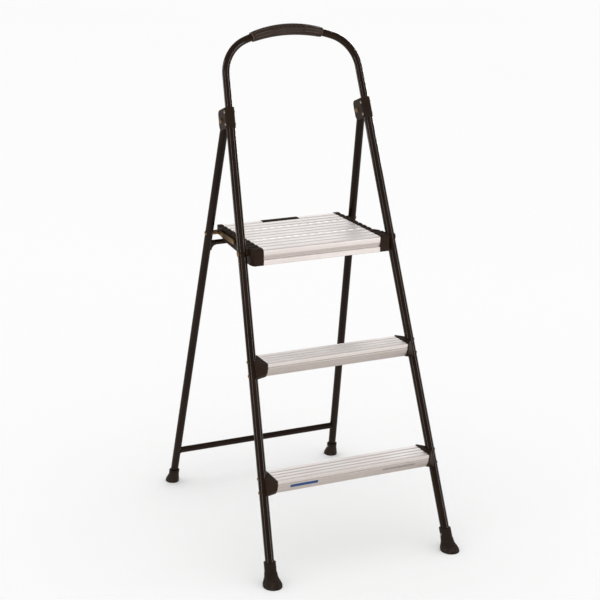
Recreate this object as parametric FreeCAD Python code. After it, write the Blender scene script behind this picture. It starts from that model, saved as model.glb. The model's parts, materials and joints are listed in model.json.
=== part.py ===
"""Folding three-step stool with a hoop handrail.  Millimetres, +Z up, the climbing side faces -Y.

The origin is on the floor, in the centre plane, midway between the toes of the front feet and the
heels of the rear feet.  Parts of the right side (+X) are modelled and mirrored to the left.
"""
import FreeCAD, Part
import math
import os

V = FreeCAD.Vector

# ---- driving dimensions -------------------------------------------------------------------------
FRONT_FOOT_Y = -319.7          # front rail axis on the floor
REAR_FOOT_Y = 325.6            # rear leg axis on the floor
HINGE_Y, HINGE_Z = 57.0, 976.0  # pivot between front rails and rear legs

FRONT_HALF_FLOOR = 224.1       # half-width of the front rail axes on the floor
FRONT_HALF_TOP = 169.8         # and at the height below
TAPER_Z = 1005.8
FRONT_LEAN = 358.5 / 1005.8    # rearward run per unit of height

REAR_HALF_FLOOR = 224.6
REAR_HALF_HINGE = 171.2

RAIL_R, RAIL_BORE = 10.1, 8.6
HOOP_R, HOOP_BORE = 8.5, 7.2
LEG_R, LEG_BORE = 9.4, 8.1
TUBE_END_Z = 6.0               # tube ends stand this far above the floor, inside the feet

HOOP_TOP_S = 1239.0            # hoop crown, measured along the leaning plane from the floor
HOOP_CORNER_S = 1138.0         # centre of the hoop's corner bends
HOOP_CORNER_R = 87.0
HOOP_JOIN_DEPTH = 60.0         # length of hoop tube inside each rail

GRIP_HALF_LENGTH = 89.0
GRIP_MIDDLE = -4.7             # along the crown: the grip sits a little to the left
GRIP_R_MIDDLE, GRIP_R_END = 13.1, 11.3

BRACKET_HEIGHT = 47.0
BRACKET_REAR = 41.0
BRACKET_THICK = 1.6
BRACKET_RIVET_STEP = 14.0      # each side of the bracket's middle
PIVOT_R = 4.0
RUNNING = 0.06                 # radial clearance of a turning pin

DECK_TOP = 708.2
DECK_HALF = 146.1
DECK_NOSE_AHEAD = 33.4         # nose ahead of the rail axis at deck height
DECK_DEPTH = 254.7
DECK_NOSE_HEIGHT = 36.7
DECK_RIB_PITCH = 23.4
DECK_FIRST_GROOVE = 25.0       # from the nose
DECK_GROOVES = 10
DASH_RIBS = (2, 6)             # ribs that carry a row of raised dashes, counted from the nose
DASH_PITCH, DASH_LENGTH = 20.0, 11.0
DASH_COUNT = 14

CAP_HALF = 160.5               # outer half-width of the deck's end caps
CAP_HALF_PIVOT = 172.5         # and beside the rails
PIVOT_A_Z = 697.0              # deck pivot on the front rails
PIVOT_B_Z = 697.4              # link pivot on the rear legs
FOLDED_LEG_ANGLE = 34.0        # swing of the rear legs between spread and folded
LINK_IN, LINK_OUT = 162.6, 165.4
LINK_END_R = 5.0               # half height of the link at the leg
LINK_DECK_R = 6.0              # and at the deck, where its middle hangs lower
LINK_DROP = 1.4
LINK_PIN_R = 3.0

TREAD_TOPS = {"middle": 470.5, "bottom": 225.6}
TREAD_HALVES = {"middle": 175.2, "bottom": 190.0}
TREAD_NOSE_AHEAD = 37.6
TREAD_DEPTH = 68.0
TREAD_HEIGHT = 32.8
TREAD_GROOVES = (6.0, 21.3, 36.6, 51.9)
TREAD_RIVET_DROPS = (3.2, 32.6)  # rivets below the tread's top

UPPER_BAR_Z, UPPER_BAR_R = 671.0, 6.0
GUSSET_SIZE, GUSSET_THICK = 12.0, 4.0
LOWER_BAR_Z, LOWER_BAR_R = 92.0, 7.7

LATCH_HALF = 46.5
LATCH_PIN = (131.3, 698.8)     # y, z of the latch pin
LATCH_PIN_R = 2.5
NOTCH_FRONT_Y = 137.4          # front edge of the notch in the deck's rear edge
BARREL_HALF, SPRING_GAP_HALF = 24.0, 4.6
HOOK_TOP_Z = 696.4             # top of the steel hook, under the release handle
HOOK_HALF, HOOK_THICK, HOOK_RIVET_R = 13.0, 2.5, 1.5


# ---- general helpers ----------------------------------------------------------------------------
def front_half(z):
    return FRONT_HALF_FLOOR + (FRONT_HALF_TOP - FRONT_HALF_FLOOR) * z / TAPER_Z


def front_y(z):
    return FRONT_FOOT_Y + FRONT_LEAN * z


def rear_half(z):
    return REAR_HALF_FLOOR + (REAR_HALF_HINGE - REAR_HALF_FLOOR) * z / HINGE_Z


def rear_y(z):
    return REAR_FOOT_Y + (HINGE_Y - REAR_FOOT_Y) * z / HINGE_Z


def rail_point(z):
    return V(front_half(z), front_y(z), z)


def leg_point(z):
    return V(rear_half(z), rear_y(z), z)


def cylinder(start, end, radius):
    run = end - start
    return Part.makeCylinder(radius, run.Length, start, run)


def tube(start, end, radius, bore):
    return cylinder(start, end, radius).cut(cylinder(start, end, bore))


def mirrored(shape):
    return shape.mirror(V(0, 0, 0), V(1, 0, 0))


def pair(shape):
    return Part.makeCompound([shape, mirrored(shape)])


def outline(corners, place):
    """Face from corners (a, b, fillet radius); place turns (a, b) into a point in space."""
    ends = []
    count = len(corners)
    for i, (a, b, radius) in enumerate(corners):
        corner = V(a, b, 0)
        if radius == 0:
            ends.append((corner, None, corner))
            continue
        back = (V(*corners[i - 1][:2], 0) - corner).normalize()
        ahead = (V(*corners[(i + 1) % count][:2], 0) - corner).normalize()
        half = back.getAngle(ahead) / 2
        reach = radius / math.tan(half)
        middle = corner + (back + ahead).normalize() * (radius / math.sin(half) - radius)
        ends.append((corner + back * reach, middle, corner + ahead * reach))
    edges = []
    for i, (start, middle, end) in enumerate(ends):
        if middle is not None:
            arc = Part.Arc(*[place(p.x, p.y) for p in (start, middle, end)])
            edges.append(arc.toShape())
        following = ends[(i + 1) % count][0]
        if (following - end).Length > 1e-6:
            edges.append(Part.LineSegment(place(end.x, end.y), place(following.x, following.y)).toShape())
    return Part.Face(Part.Wire(edges))


def extrude_x(corners, x0, x1):
    """Prism along X from corners (y, z, fillet radius)."""
    return outline(corners, lambda y, z: V(x0, y, z)).extrude(V(x1 - x0, 0, 0))


def extrude_z(corners, z0, z1):
    """Prism along Z from corners (x, y, fillet radius)."""
    return outline(corners, lambda x, y: V(x, y, z0)).extrude(V(0, 0, z1 - z0))


def dome(base, direction, radius, height):
    """Rivet head: a spherical cap standing on base."""
    sphere_r = (radius ** 2 + height ** 2) / (2 * height)
    direction = V(direction).normalize()
    ball = Part.makeSphere(sphere_r, base + direction * (height - sphere_r))
    return ball.common(Part.makeCylinder(radius + 1, height + 1, base, direction))


def rivet(start, end, shank_r, head_r, head_height, both=True, seat=None):
    """Rivet from start to end, with a domed head beyond end and, if both, beyond start.

    seat is a solid that the heads lie on, such as the tube: they are hollowed to fit it.
    """
    body = cylinder(start, end, shank_r)
    ends = [(end, end - start), (start, start - end)]
    for base, direction in ends if both else ends[:1]:
        head = dome(base, direction, head_r, head_height)
        body = body.fuse(head.cut(seat) if seat else head)
    return body.removeSplitter()


# ---- the leaning frame of the right-hand rail ---------------------------------------------------
RAIL_ALONG = (rail_point(TAPER_Z) - rail_point(0)).normalize()
RAIL_OUT = V(1, 0, 0) - RAIL_ALONG * RAIL_ALONG.x
RAIL_OUT.normalize()
RAIL_BEHIND = RAIL_ALONG.cross(RAIL_OUT)
HINGE = V(0, HINGE_Y, HINGE_Z)
HINGE_RUN = (HINGE - rail_point(0)).dot(RAIL_ALONG) - RAIL_ALONG.x * (0 - rail_point(HINGE_Z).x)
BRACKET_MIDDLE = rail_point(0) + RAIL_ALONG * HINGE_RUN


def at_bracket(behind, out, up):
    return BRACKET_MIDDLE + RAIL_BEHIND * behind + RAIL_OUT * out + RAIL_ALONG * up


BRACKET_RIVETS = [
    (at_bracket(0, -(RAIL_R + BRACKET_THICK), up), at_bracket(0, RAIL_R + BRACKET_THICK, up))
    for up in (-BRACKET_RIVET_STEP, BRACKET_RIVET_STEP)
]
BRACKET_RIVET_R = 2.4
TREAD_RIVET_R = 2.4
FOOT_RIVET_R = 2.0
RAIL_BODY = cylinder(rail_point(0), rail_point(TAPER_Z), RAIL_R)
LEG_BODY = cylinder(leg_point(0), leg_point(HINGE_Z), LEG_R)


def hinge_axis(inner, outer):
    """Points on the hinge pin, given as distances each side of the rail's middle plane."""
    x = rear_half(HINGE_Z)
    return V(x + inner, HINGE_Y, HINGE_Z), V(x + outer, HINGE_Y, HINGE_Z)


# ---- front frame --------------------------------------------------------------------------------
def front_rail():
    top = at_bracket(0, 0, BRACKET_HEIGHT / 2 - 2.5)
    rail = tube(rail_point(TUBE_END_Z), top, RAIL_R, RAIL_BORE)
    for start, end in BRACKET_RIVETS:
        rail = rail.cut(cylinder(start, end, BRACKET_RIVET_R))
    for name in TREAD_TOPS:
        for start, end in tread_rivet_lines(name):
            rail = rail.cut(cylinder(start, end, TREAD_RIVET_R))
    start, end = foot_rivet_line(rail_point, FRONT_SLEEVE_R, FRONT_RIVET_Z)
    rail = rail.cut(cylinder(start, end, FOOT_RIVET_R))
    start, end = pivot_a_line()
    return rail.cut(cylinder(start, end, PIVOT_R))


def hoop_plane(x, s):
    """Point of the hoop's plane: x across, s up the slope from the floor."""
    slope = math.hypot(1, FRONT_LEAN)
    return V(x, FRONT_FOOT_Y + s * FRONT_LEAN / slope, s / slope)


def hoop_side_x(s):
    return front_half(s / math.hypot(1, FRONT_LEAN))


def hoop_arcs():
    """Corner centre, crown radius and crown centre of the hoop, in its own plane."""
    fall = hoop_side_x(0) - hoop_side_x(1)
    centre_x = hoop_side_x(HOOP_CORNER_S) - HOOP_CORNER_R * math.hypot(1, fall)
    drop = HOOP_CORNER_S - HOOP_TOP_S
    crown_r = (HOOP_CORNER_R ** 2 - centre_x ** 2 - drop ** 2) / (2 * (drop + HOOP_CORNER_R))
    return centre_x, fall, crown_r, HOOP_TOP_S - crown_r


def hoop_half_path():
    """Edges of the right half of the hoop, from the rail up to the crown."""
    centre_x, fall, crown_r, crown_s = hoop_arcs()
    tilt = math.atan(fall)
    join = math.atan2(HOOP_CORNER_S - crown_s, centre_x)

    def corner(angle):
        return hoop_plane(centre_x + HOOP_CORNER_R * math.cos(angle),
                          HOOP_CORNER_S + HOOP_CORNER_R * math.sin(angle))

    def crown(angle):
        return hoop_plane(crown_r * math.cos(angle), crown_s + crown_r * math.sin(angle))

    foot = at_bracket(0, 0, BRACKET_HEIGHT / 2 - 2.5 - HOOP_JOIN_DEPTH)
    side = Part.LineSegment(foot, corner(tilt))
    bend = Part.Arc(corner(tilt), corner((tilt + join) / 2), corner(join))
    top = Part.Arc(crown(join), crown((join + math.pi / 2) / 2), crown(math.pi / 2))
    return [side.toShape(), bend.toShape(), top.toShape()]


def handrail_hoop():
    right = hoop_half_path()
    path = Part.Wire(right)
    start = right[0].Vertexes[0].Point
    direction = right[0].Vertexes[1].Point - start
    outer = Part.Wire(Part.Circle(start, direction, HOOP_R).toShape())
    inner = Part.Wire(Part.Circle(start, direction, HOOP_BORE).toShape())
    half = path.makePipeShell([outer], True, True).cut(path.makePipeShell([inner], True, True))
    for line in BRACKET_RIVETS:
        half = half.cut(cylinder(line[0], line[1], BRACKET_RIVET_R))
    return half.fuse(mirrored(half)).removeSplitter()


def hand_grip():
    """Barrel-shaped grip around the hoop's crown."""
    _, _, crown_r, crown_s = hoop_arcs()
    stations = 9
    rings = []
    for i in range(stations):
        share = 2 * i / (stations - 1) - 1
        angle = math.pi / 2 - (GRIP_MIDDLE + GRIP_HALF_LENGTH * share) / crown_r
        centre = hoop_plane(crown_r * math.cos(angle), crown_s + crown_r * math.sin(angle))
        ahead = hoop_plane(crown_r * math.cos(angle - 0.01), crown_s + crown_r * math.sin(angle - 0.01))
        radius = GRIP_R_END + (GRIP_R_MIDDLE - GRIP_R_END) * (1 - share ** 2)
        rings.append(Part.Wire(Part.Circle(centre, ahead - centre, radius).toShape()))
    barrel = Part.makeLoft(rings, True)
    centre = hoop_plane(0, crown_s)
    normal = (hoop_plane(1, 0) - hoop_plane(0, 0)).cross(hoop_plane(0, 1) - hoop_plane(0, 0))
    bore = Part.makeTorus(crown_r, HOOP_R, centre, normal)
    return barrel.cut(bore)


def hinge_bracket():
    """Sheet-steel saddle around the rail, with two cheeks that hold the rear leg."""
    half = BRACKET_HEIGHT / 2
    outer = cylinder(at_bracket(0, 0, -half), at_bracket(0, 0, half), RAIL_R + BRACKET_THICK)
    reach = BRACKET_REAR + 5
    wide = RAIL_R + BRACKET_THICK
    block = prism_local([(0, -wide), (reach, -wide), (reach, wide), (0, wide)], half)
    slot = prism_local([(0, -RAIL_R), (reach + 1, -RAIL_R), (reach + 1, RAIL_R), (0, RAIL_R)], half + 1)
    bore = cylinder(at_bracket(0, 0, -half - 1), at_bracket(0, 0, half + 1), RAIL_R)
    body = outer.fuse(block).cut(slot).cut(bore)
    corners = [(-20, -half, 0), (BRACKET_REAR, -half, 13), (BRACKET_REAR, half, 10), (-20, half, 0)]
    profile = outline(corners, lambda behind, up: at_bracket(behind, -20, up))
    body = body.common(profile.extrude(RAIL_OUT * 40))
    start, end = hinge_axis(-20, 20)
    body = body.cut(cylinder(start, end, PIVOT_R))
    for line in BRACKET_RIVETS:
        body = body.cut(cylinder(line[0] - RAIL_OUT, line[1] + RAIL_OUT, BRACKET_RIVET_R))
    return body.removeSplitter()


def prism_local(corners, half_height):
    """Prism along the rail from corners (behind, out)."""
    points = [at_bracket(b, o, -half_height) for b, o in corners]
    face = Part.Face(Part.makePolygon(points + points[:1]))
    return face.extrude(RAIL_ALONG * (2 * half_height))


def bracket_rivets():
    solids = [rivet(start, end, BRACKET_RIVET_R, 3.8, 1.6) for start, end in BRACKET_RIVETS]
    return pair(Part.makeCompound(solids))


def hinge_pivots():
    reach = RAIL_R + BRACKET_THICK + 0.8
    start, end = hinge_axis(-reach, reach)
    return pair(rivet(start, end, PIVOT_R, 7.0, 3.2))


# ---- treads -------------------------------------------------------------------------------------
def tread_nose_y(name):
    return front_y(TREAD_TOPS[name]) - TREAD_NOSE_AHEAD


def tread_rivet_lines(name):
    """Axes of the two rivets that hold a tread's end cap to the rail."""
    lines = []
    for drop in TREAD_RIVET_DROPS:
        middle = rail_point(TREAD_TOPS[name] - drop)
        lines.append((middle - RAIL_OUT * 16, middle + RAIL_OUT * (RAIL_R - 0.3)))
    return lines


def groove(at, width, depth):
    """Corners of one groove in a top surface at height 0, running towards the rear."""
    return [(at - width / 2, 0, 0.8), (at - width / 4, -depth, 0.6),
            (at + width / 4, -depth, 0.6), (at + width / 2, 0, 0.8)]


def tread_section():
    """Closed section of a tread, from its nose, with the top at height 0."""
    depth, height, wall = TREAD_DEPTH, TREAD_HEIGHT, 2.0
    corners = [(17, -height + 1.0, 0), (13, -height, 0.8), (5.2, -22.5, 12), (0.6, -12.0, 3),
               (0.6, -10.4, 0.4), (1.6, -9.8, 0.4), (1.6, -8.4, 0.4), (0, -7.8, 0.4), (0, 0, 1.6)]
    for at in TREAD_GROOVES:
        corners += groove(at, 5.0, 1.5)
    corners += [(depth, 0, 1.6), (depth, -22, 1.0), (depth - 9, -22, 0), (depth - 9, -20, 0),
                (depth - wall, -20, 0.8), (depth - wall, -3.4, 1.5), (3.4, -3.4, 1.5),
                (3.4, -12.4, 2), (7.4, -21.6, 10), (14.6, -30.4, 0.5), (17, -29.8, 0)]
    return corners


def placed(corners, nose_y, top_z):
    return [(nose_y + y, top_z + z, r) for y, z, r in corners]


def tread(name):
    half = TREAD_HALVES[name]
    return extrude_x(placed(tread_section(), tread_nose_y(name), TREAD_TOPS[name]), -half, half)


def tread_cap(name):
    """Plastic end cap of a tread: an end plate that swells into a saddle on the rail."""
    top, half, nose = TREAD_TOPS[name], TREAD_HALVES[name], tread_nose_y(name)
    plate = [(-1.2, 1.2, 3), (TREAD_DEPTH + 1.2, 1.2, 3), (TREAD_DEPTH + 1.2, -24, 6),
             (24, -TREAD_HEIGHT - 1.4, 8), (12, -TREAD_HEIGHT - 1.4, 5), (2.0, -22, 8), (-1.2, -10, 4)]
    plate_x = half + 2.6
    body = extrude_x(placed(plate, nose, top), half, plate_x)
    low, high = top - TREAD_HEIGHT - 9, top + 1.2
    saddle_x = front_half((low + high) / 2) - 2.0
    near = placed([(y, z, 0) for y, z, _ in plate], nose, top)
    grow = RAIL_R + 3
    far = [(front_y(high) - grow + 2, high, 0), (front_y(high) + grow, high - 1, 0),
           (front_y(top - 20) + grow + 4, top - 20, 0), (front_y(low) + grow - 4, low + 2, 0),
           (front_y(low) - 2, low, 0), (front_y(low) - grow + 3, low + 6, 0),
           (front_y(top - 16) - grow, top - 16, 0)]
    wires = []
    for x, ring in ((plate_x - 0.01, near), (saddle_x, far)):
        points = [V(x, y, z) for y, z, _ in ring]
        wires.append(Part.makePolygon(points + points[:1]))
    body = body.fuse(Part.makeLoft(wires, True, True))
    body = body.cut(cylinder(rail_point(low - 60), rail_point(high + 60), RAIL_R))
    for start, end in tread_rivet_lines(name):
        body = body.cut(cylinder(start, end, TREAD_RIVET_R))
    return body.removeSplitter()


def tread_rivets():
    solids = []
    for name in TREAD_TOPS:
        for start, end in tread_rivet_lines(name):
            solids.append(rivet(start, end, TREAD_RIVET_R, 4.4, 2.6, both=False, seat=RAIL_BODY))
    return pair(Part.makeCompound(solids))


# ---- feet ---------------------------------------------------------------------------------------
def foot(point_at, sleeve_r, bore_r, sleeve_top, base, toe, flare_top, slant, rivet_z):
    """Rubber foot: a sleeve on the tube's end that flares into a flat oval sole.

    base is the sole's half-width and half-length, toe its offset along Y.
    """
    axis = (point_at(100) - point_at(0)).normalize()
    below = point_at(-30)
    sleeve = cylinder(below, point_at(sleeve_top + 20), sleeve_r)
    cut_point = point_at(sleeve_top)
    lid_normal = (V(0, slant, 1)).normalize()
    lid = Part.makePlane(200, 200, V(-100, -100, 0))
    lid.Placement = FreeCAD.Placement(cut_point, FreeCAD.Rotation(V(0, 0, 1), lid_normal))
    sleeve = sleeve.cut(lid.extrude(lid_normal * 80))
    centre = point_at(0)
    rings = []
    for z, share in ((0.0, 0.985), (2.0, 1.0), (5.0, 0.98), (11.0, 0.80), (18.0, 0.58), (flare_top, 0.42)):
        on_axis = point_at(z)
        blend = (share - 0.42) / 0.58
        half_x = sleeve_r + (base[0] - sleeve_r) * blend
        half_y = sleeve_r * 1.03 + (base[1] - sleeve_r * 1.03) * blend
        middle = V(on_axis.x, on_axis.y + toe * blend, z)
        ring = Part.Ellipse(middle, max(half_x, half_y), min(half_x, half_y))
        shape = ring.toShape()
        if half_y > half_x:
            shape.rotate(middle, V(0, 0, 1), 90)
        rings.append(Part.Wire(shape))
    body = sleeve.fuse(Part.makeLoft(rings, True))
    body = body.cut(Part.makeBox(400, 400, 60, V(centre.x - 200, centre.y - 200, -60)))
    end = point_at(TUBE_END_Z)
    body = body.cut(cylinder(end, end + axis * 120, bore_r))
    start, end = foot_rivet_line(point_at, sleeve_r, rivet_z)
    return body.cut(cylinder(start, end, FOOT_RIVET_R)).removeSplitter()


FRONT_SLEEVE_R, REAR_SLEEVE_R = 13.7, 12.7
FRONT_RIVET_Z, REAR_RIVET_Z = 36.0, 27.0   # heights of the feet's rivets


def front_foot():
    return foot(rail_point, FRONT_SLEEVE_R, RAIL_R, 49.0, (21.6, 24.5), -5.0, 29.0, 0.16, FRONT_RIVET_Z)


def rear_foot():
    return foot(leg_point, REAR_SLEEVE_R, LEG_R, 35.0, (16.6, 19.5), 4.0, 21.0, 0.0, REAR_RIVET_Z)


def foot_rivet_line(point_at, sleeve_r, height):
    """Axis of the small rivet through the inward side of a foot's sleeve."""
    middle = point_at(height)
    return middle - V(RAIL_BORE - 2.0, 0, 0), middle - V(sleeve_r - 0.3, 0, 0)


def foot_rivets(point_at, sleeve_r, height):
    start, end = foot_rivet_line(point_at, sleeve_r, height)
    seat = cylinder(point_at(0), point_at(60), sleeve_r)
    return pair(rivet(start, end, FOOT_RIVET_R, 3.4, 1.6, both=False, seat=seat))


# ---- rear frame ---------------------------------------------------------------------------------
LEG_ALONG = (leg_point(HINGE_Z) - leg_point(0)).normalize()
LEG_TOP = leg_point(HINGE_Z) + LEG_ALONG * 10.0
BUSH_R = 5.6


def pivot_b_line():
    point = leg_point(PIVOT_B_Z)
    return V(LINK_IN, point.y, point.z), V(point.x + LEG_R - 0.3, point.y, point.z)


def rear_leg():
    leg = tube(leg_point(TUBE_END_Z), LEG_TOP, LEG_R, LEG_BORE)
    start, end = hinge_axis(-20, 20)
    leg = leg.cut(cylinder(start, end, BUSH_R))
    start, end = foot_rivet_line(leg_point, REAR_SLEEVE_R, REAR_RIVET_Z)
    leg = leg.cut(cylinder(start, end, FOOT_RIVET_R))
    start, end = pivot_b_line()
    return leg.cut(cylinder(start, end, LINK_PIN_R))


def leg_top_plugs():
    plug = dome(LEG_TOP, LEG_ALONG, LEG_R, 2.4)
    stem = cylinder(LEG_TOP - LEG_ALONG * 2.5, LEG_TOP + LEG_ALONG * 0.5, LEG_BORE)
    start, end = hinge_axis(-20, 20)
    return pair(plug.fuse(stem).cut(cylinder(start, end, BUSH_R)).removeSplitter())


def hinge_bushes():
    start, end = hinge_axis(-8.6, 8.6)
    return pair(tube(start, end, BUSH_R, PIVOT_R + RUNNING))


def crossbar(z, radius):
    """Tube between the rear legs, welded to them."""
    y, reach = rear_y(z), rear_half(z)
    bar = tube(V(-reach, y, z), V(reach, y, z), radius, radius - 1.4)
    leg = cylinder(leg_point(z - 80), leg_point(z + 80), LEG_R)
    return bar.cut(leg).cut(mirrored(leg))


def crossbar_gussets():
    """Curved plates welded under the ends of the upper crossbar."""
    z, size = UPPER_BAR_Z, GUSSET_SIZE
    y, edge = rear_y(z), rear_half(z) - size - LEG_R
    low = z - UPPER_BAR_R - size
    web = Part.makeBox(size + 12, GUSSET_THICK, size + UPPER_BAR_R, V(edge, y - GUSSET_THICK / 2, low))
    web = web.cut(cylinder(V(edge, y - 5, low), V(edge, y + 5, low), size))
    web = web.cut(cylinder(V(0, y, z), V(200, y, z), UPPER_BAR_R))
    web = web.common(Part.makeBox(400, 40, size + 20, V(0, y - 20, z - size - 20)))
    return pair(web.cut(cylinder(leg_point(z - 80), leg_point(z + 80), LEG_R)))


def link_pivots():
    """Rivets through rear leg, spacer and link."""
    start, end = pivot_b_line()
    pin = rivet(start, end, LINK_PIN_R, 5.2, 2.2, both=False, seat=LEG_BODY)
    return pair(pin.fuse(cylinder(start - V(1.5, 0, 0), start, 5.0)).removeSplitter())


def link_spacers():
    start, end = pivot_b_line()
    body = cylinder(V(LINK_OUT + 0.3, start.y, start.z), end, 5.5).cut(cylinder(start, end, LINK_PIN_R))
    return pair(body.cut(cylinder(leg_point(600), leg_point(800), LEG_R)))


# ---- folding linkage ----------------------------------------------------------------------------
def turned(point, centre, degrees):
    """(y, z) turned about centre, positive by the right-hand rule about +X."""
    angle = math.radians(degrees)
    dy, dz = point[0] - centre[0], point[1] - centre[1]
    return (centre[0] + dy * math.cos(angle) - dz * math.sin(angle),
            centre[1] + dy * math.sin(angle) + dz * math.cos(angle))


def folding():
    """Pin C of the link on the deck, and the turns of deck and link between spread and folded.

    Spread, A, C and B lie in one line.  Folded, the deck lies in the plane of the rails.
    """
    a = (front_y(PIVOT_A_Z), PIVOT_A_Z)
    b = (rear_y(PIVOT_B_Z), PIVOT_B_Z)
    folded_b = turned(b, (HINGE_Y, HINGE_Z), -FOLDED_LEG_ANGLE)
    span = math.hypot(b[0] - a[0], b[1] - a[1])
    rise = math.atan2(b[1] - a[1], b[0] - a[0])
    rail = math.atan2(1, FRONT_LEAN)
    low, high = 0.3 * span, 0.7 * span
    for _ in range(60):
        arm = (low + high) / 2
        folded_c = (a[0] + arm * math.cos(rail), a[1] + arm * math.sin(rail))
        gap = math.hypot(folded_c[0] - folded_b[0], folded_c[1] - folded_b[1]) - (span - arm)
        low, high = (arm, high) if gap < 0 else (low, arm)
    c = (a[0] + arm * math.cos(rise), a[1] + arm * math.sin(rise))
    link_spread = math.degrees(math.atan2(c[1] - b[1], c[0] - b[0]))
    link_folded = math.degrees(math.atan2(folded_c[1] - folded_b[1], folded_c[0] - folded_b[0]))
    deck_turn = math.degrees(rail - rise)
    link_turn = (link_spread - link_folded) % 360 - FOLDED_LEG_ANGLE
    return a, b, c, deck_turn, link_turn


PIVOT_A, PIVOT_B, PIVOT_C, DECK_TURN, LINK_TURN = folding()


def link():
    """Flat steel link with rounded ends, from the leg pivot to the deck pin."""
    ahead = V(0, PIVOT_C[0] - PIVOT_B[0], PIVOT_C[1] - PIVOT_B[1])
    length = ahead.Length
    ahead.normalize()
    upward = V(0, -ahead.z, ahead.y) * -1
    start = V(LINK_IN, PIVOT_B[0], PIVOT_B[1])
    rear, front = LINK_END_R, LINK_DECK_R
    corners = [(-rear, -rear, rear - 0.1), (length + front, -front - LINK_DROP, front - 0.1),
               (length + front, front - LINK_DROP, front - 0.1), (-rear, rear, rear - 0.1)]
    face = outline(corners, lambda along, up: start + ahead * along + upward * up)
    body = face.extrude(V(LINK_OUT - LINK_IN, 0, 0))
    for (y, z), radius in ((PIVOT_B, LINK_PIN_R + RUNNING), (PIVOT_C, LINK_PIN_R)):
        body = body.cut(cylinder(V(LINK_IN - 1, y, z), V(LINK_OUT + 1, y, z), radius))
    return body


def link_pin():
    """Rivet at the deck end of the link; its inner end stops short of the deck's cap."""
    y, z = PIVOT_C
    return rivet(V(CAP_HALF + 0.5, y, z), V(LINK_OUT, y, z), LINK_PIN_R, 5.4, 1.6, both=False)


# ---- platform -----------------------------------------------------------------------------------
DECK_NOSE_Y = front_y(DECK_TOP) - DECK_NOSE_AHEAD
DECK_REAR_Y = DECK_NOSE_Y + DECK_DEPTH
BOSS_YS = (80.0, 205.0)        # screw bosses, from the nose
BOSS_DROP = 8.2
BOSS_R, SCREW_R = 4.5, 2.0
SCREW_SEAT_X = CAP_HALF - 5.4   # inner face of the screw heads


def deck_section():
    """Closed section of the deck, from its nose, with the top at height 0."""
    depth, height, wall = DECK_DEPTH, DECK_NOSE_HEIGHT, 2.2
    corners = [(10, -height, 0), (0.6, -height, 1.0), (0.6, -25.2, 0.6), (3.2, -23.6, 0.5),
               (0.4, -14.5, 14), (0, -1.0, 3.5), (6.5, 0, 2.5)]
    for i in range(DECK_GROOVES):
        corners += groove(DECK_FIRST_GROOVE + i * DECK_RIB_PITCH, 8.0, 1.8)
    corners += [(depth, 0, 1.5), (depth, -10, 0.8), (depth - wall, -10, 0.8),
                (depth - wall, -4.2, 1.5)]
    corners += [(6.0, -4.2, 1.5), (6.0, -23.4, 1), (3.2, -26.6, 1), (3.2, -height + wall, 0.6),
                (10, -height + wall, 0)]
    return corners


def deck_ribs():
    """Stiffening ribs and screw bosses below the deck."""
    solids = []
    for at in (45.0, 115.0, 150.0, 180.0):
        rib = [(at, -14, 0), (at + 2, -14, 0), (at + 2, -4, 0), (at, -4, 0)]
        solids.append(extrude_x(placed(rib, DECK_NOSE_Y, DECK_TOP), -DECK_HALF, DECK_HALF))
    for at in BOSS_YS:
        y, z = DECK_NOSE_Y + at, DECK_TOP - BOSS_DROP
        solids.append(cylinder(V(-DECK_HALF, y, z), V(DECK_HALF, y, z), BOSS_R))
    return solids


def deck_dashes():
    """Two rows of raised dashes on the deck."""
    solids = []
    for rib in DASH_RIBS:
        y = DECK_NOSE_Y + DECK_FIRST_GROOVE + (rib + 0.5) * DECK_RIB_PITCH
        for i in range(DASH_COUNT):
            x = (i - (DASH_COUNT - 1) / 2) * DASH_PITCH
            half = DASH_LENGTH / 2
            bar = cylinder(V(x - half, y, DECK_TOP - 1.6), V(x + half, y, DECK_TOP - 1.6), 2.6)
            solids.append(bar)
    return solids


def platform_deck():
    section = placed(deck_section(), DECK_NOSE_Y, DECK_TOP)
    deck = extrude_x(section, -DECK_HALF, DECK_HALF)
    deck = deck.multiFuse(deck_ribs() + deck_dashes())
    for at in BOSS_YS:
        y, z = DECK_NOSE_Y + at, DECK_TOP - BOSS_DROP
        for side in (-1, 1):
            start, end = V(side * (DECK_HALF - 22), y, z), V(side * (DECK_HALF + 1), y, z)
            deck = deck.cut(cylinder(start, end, SCREW_R))
    notch = Part.makeBox(2 * LATCH_HALF + 3, 40, 40, V(-LATCH_HALF - 1.5, NOTCH_FRONT_Y, DECK_TOP - 30))
    return deck.cut(notch).removeSplitter()


def pivot_a_line():
    y, z = front_y(PIVOT_A_Z), PIVOT_A_Z
    return V(155.5, y, z), V(front_half(z) + RAIL_R - 0.3, y, z)


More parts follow.
